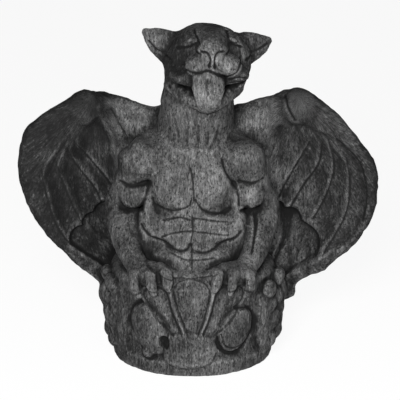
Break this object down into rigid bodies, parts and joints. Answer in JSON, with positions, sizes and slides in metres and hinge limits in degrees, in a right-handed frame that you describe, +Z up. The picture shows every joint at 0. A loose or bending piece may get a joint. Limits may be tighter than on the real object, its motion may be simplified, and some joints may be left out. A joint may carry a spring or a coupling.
{
  "type": "stone gargoyle",
  "caption": "Winged dog-headed gargoyle with its mouth open, gripping the rim of a round capital with a shell front, cast as one solid",
  "frame": {"origin": "the middle of the flat underside of the capital, at its base", "axes": "+Z up, +Y to the back and -Y to the front, where the face looks, +X to the figure's left"},
  "size_m": [0.4629, 0.2349, 0.444],
  "materials": {
    "stone": "matt dark charcoal cast stone, paler on its worn high places and near black in its hollows"
  },
  "bodies": {
    "root": {"gargoyle": "stone"}
  },
  "joints": []
}
